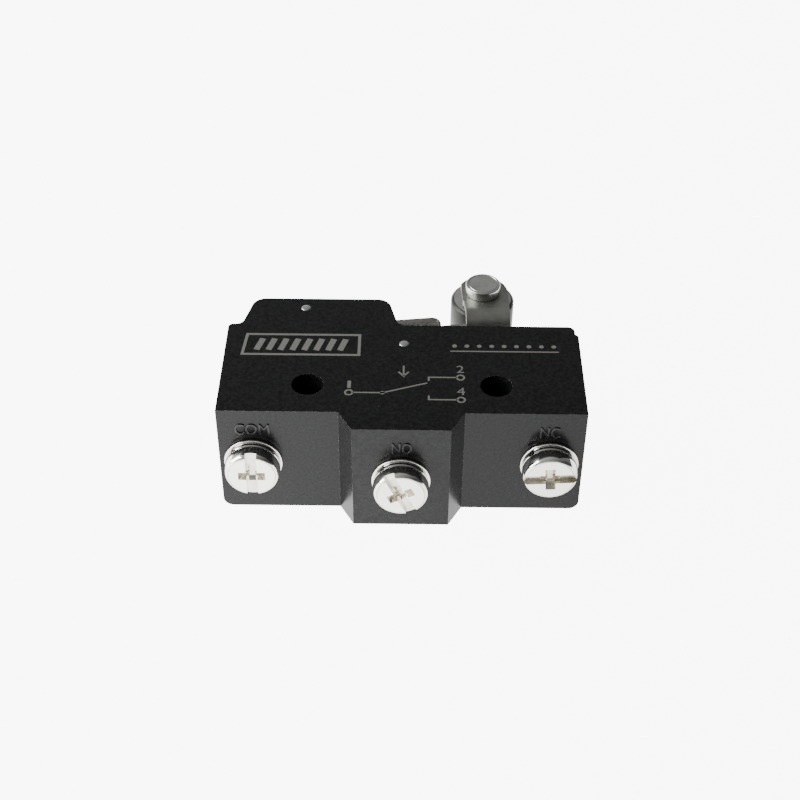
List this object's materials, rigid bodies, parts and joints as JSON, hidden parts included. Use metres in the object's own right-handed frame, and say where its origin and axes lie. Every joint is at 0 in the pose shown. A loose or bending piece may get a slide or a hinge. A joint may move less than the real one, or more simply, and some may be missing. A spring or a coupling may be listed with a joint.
{
  "type": "lever micro switch",
  "caption": "Snap-action switch in a black moulded case, with a short hinged lever carrying a steel roller, and screw terminals along the opposite side.",
  "frame": {"origin": "midway between the two mounting holes, on the flat back face", "axes": "+X along the case from the common terminal to the normally closed one, +Y from the terminals towards the lever, +Z through the thickness from the back cover to the printed face"},
  "size_m": [0.0492, 0.0444, 0.0176],
  "materials": {
    "case_phenolic": "moulded, fine grain, semi-gloss",
    "cover_phenolic": "moulded, semi-gloss",
    "pin_steel": "drawn, bright",
    "bush_brass": "turned",
    "terminal_brass": "pressed and folded",
    "contact_silver": "silver alloy, satin",
    "spring_copper": "rolled spring strip",
    "plunger_steel": "polished",
    "foot_phenolic": "moulded, red-brown",
    "lever_steel": "rolled sheet, satin",
    "rivet_steel": "headed, satin",
    "roller_steel": "sintered, satin",
    "screw_nickel": "bright nickel plate",
    "washer_nickel": "bright nickel plate"
  },
  "bodies": {
    "case": {"case_shell": "case_phenolic", "back_cover": "cover_phenolic", "hinge_pin": "pin_steel", "cover_rivet": "pin_steel", "plunger_bush": "bush_brass", "com_terminal": "terminal_brass", "no_terminal": "terminal_brass", "nc_terminal": "terminal_brass", "blade_rivet": "terminal_brass", "no_contact": "contact_silver", "nc_contact": "contact_silver"},
    "plunger": {"plunger_pin": "plunger_steel", "plunger_foot": "foot_phenolic"},
    "blade": {"snap_blade": "spring_copper", "moving_contact": "contact_silver"},
    "lever": {"lever": "lever_steel", "roller_rivet": "rivet_steel"},
    "roller": {"roller": "roller_steel"},
    "com_washers": {"com_flat_washer": "washer_nickel", "com_spring_washer": "washer_nickel"},
    "com_screw": {"com_screw": "screw_nickel"},
    "no_washers": {"no_flat_washer": "washer_nickel", "no_spring_washer": "washer_nickel"},
    "no_screw": {"no_screw": "screw_nickel"},
    "nc_washers": {"nc_flat_washer": "washer_nickel", "nc_spring_washer": "washer_nickel"},
    "nc_screw": {"nc_screw": "screw_nickel"}
  },
  "joints": [
    {"name": "lever_hinge", "type": "hinge", "parent": "case", "child": "lever", "pos_m": [-0.0139, 0.0169, 0.00873], "axis": [0, 0, 1], "range_deg": [-8, 0], "stiffness_Nm_per_rad": 0.12, "springref_deg": 10.31},
    {"name": "roller_spin", "type": "hinge", "parent": "lever", "child": "roller", "pos_m": [0.0119, 0.0275, 0.00873], "axis": [0, 0, 1], "continuous": true},
    {"name": "plunger_slide", "type": "slide", "parent": "case", "child": "plunger", "axis": [0, 1, 0], "range_m": [-0.0014, 0]},
    {"name": "blade_snap", "type": "hinge", "parent": "case", "child": "blade", "pos_m": [-0.0173, 0.0073, 0.00873], "axis": [0, 0, 1], "range_deg": [-1.7, 0]},
    {"name": "com_screw_out", "type": "slide", "parent": "case", "child": "com_washers", "axis": [0, -1, 0], "range_m": [0, 0.0021]},
    {"name": "com_screw_turn", "type": "hinge", "parent": "com_washers", "child": "com_screw", "pos_m": [-0.02, -0.0056, 0.0086], "axis": [0, -1, 0], "range_deg": [0, 1080]},
    {"name": "no_screw_out", "type": "slide", "parent": "case", "child": "no_washers", "axis": [0, -1, 0], "range_m": [0, 0.0021]},
    {"name": "no_screw_turn", "type": "hinge", "parent": "no_washers", "child": "no_screw", "pos_m": [0, -0.009, 0.0086], "axis": [0, -1, 0], "range_deg": [0, 1080]},
    {"name": "nc_screw_out", "type": "slide", "parent": "case", "child": "nc_washers", "axis": [0, -1, 0], "range_m": [0, 0.0021]},
    {"name": "nc_screw_turn", "type": "hinge", "parent": "nc_washers", "child": "nc_screw", "pos_m": [0.02, -0.0056, 0.0086], "axis": [0, -1, 0], "range_deg": [0, 1080]}
  ],
  "couplings": [
    {"joint": "plunger_slide", "follows": "lever_hinge", "m_per_rad": 0.009561},
    {"joint": "blade_snap", "follows": "lever_hinge", "ratio": 0.20125},
    {"joint": "com_screw_turn", "follows": "com_screw_out", "rad_per_m": 8976},
    {"joint": "no_screw_turn", "follows": "no_screw_out", "rad_per_m": 8976},
    {"joint": "nc_screw_turn", "follows": "nc_screw_out", "rad_per_m": 8976}
  ]
}
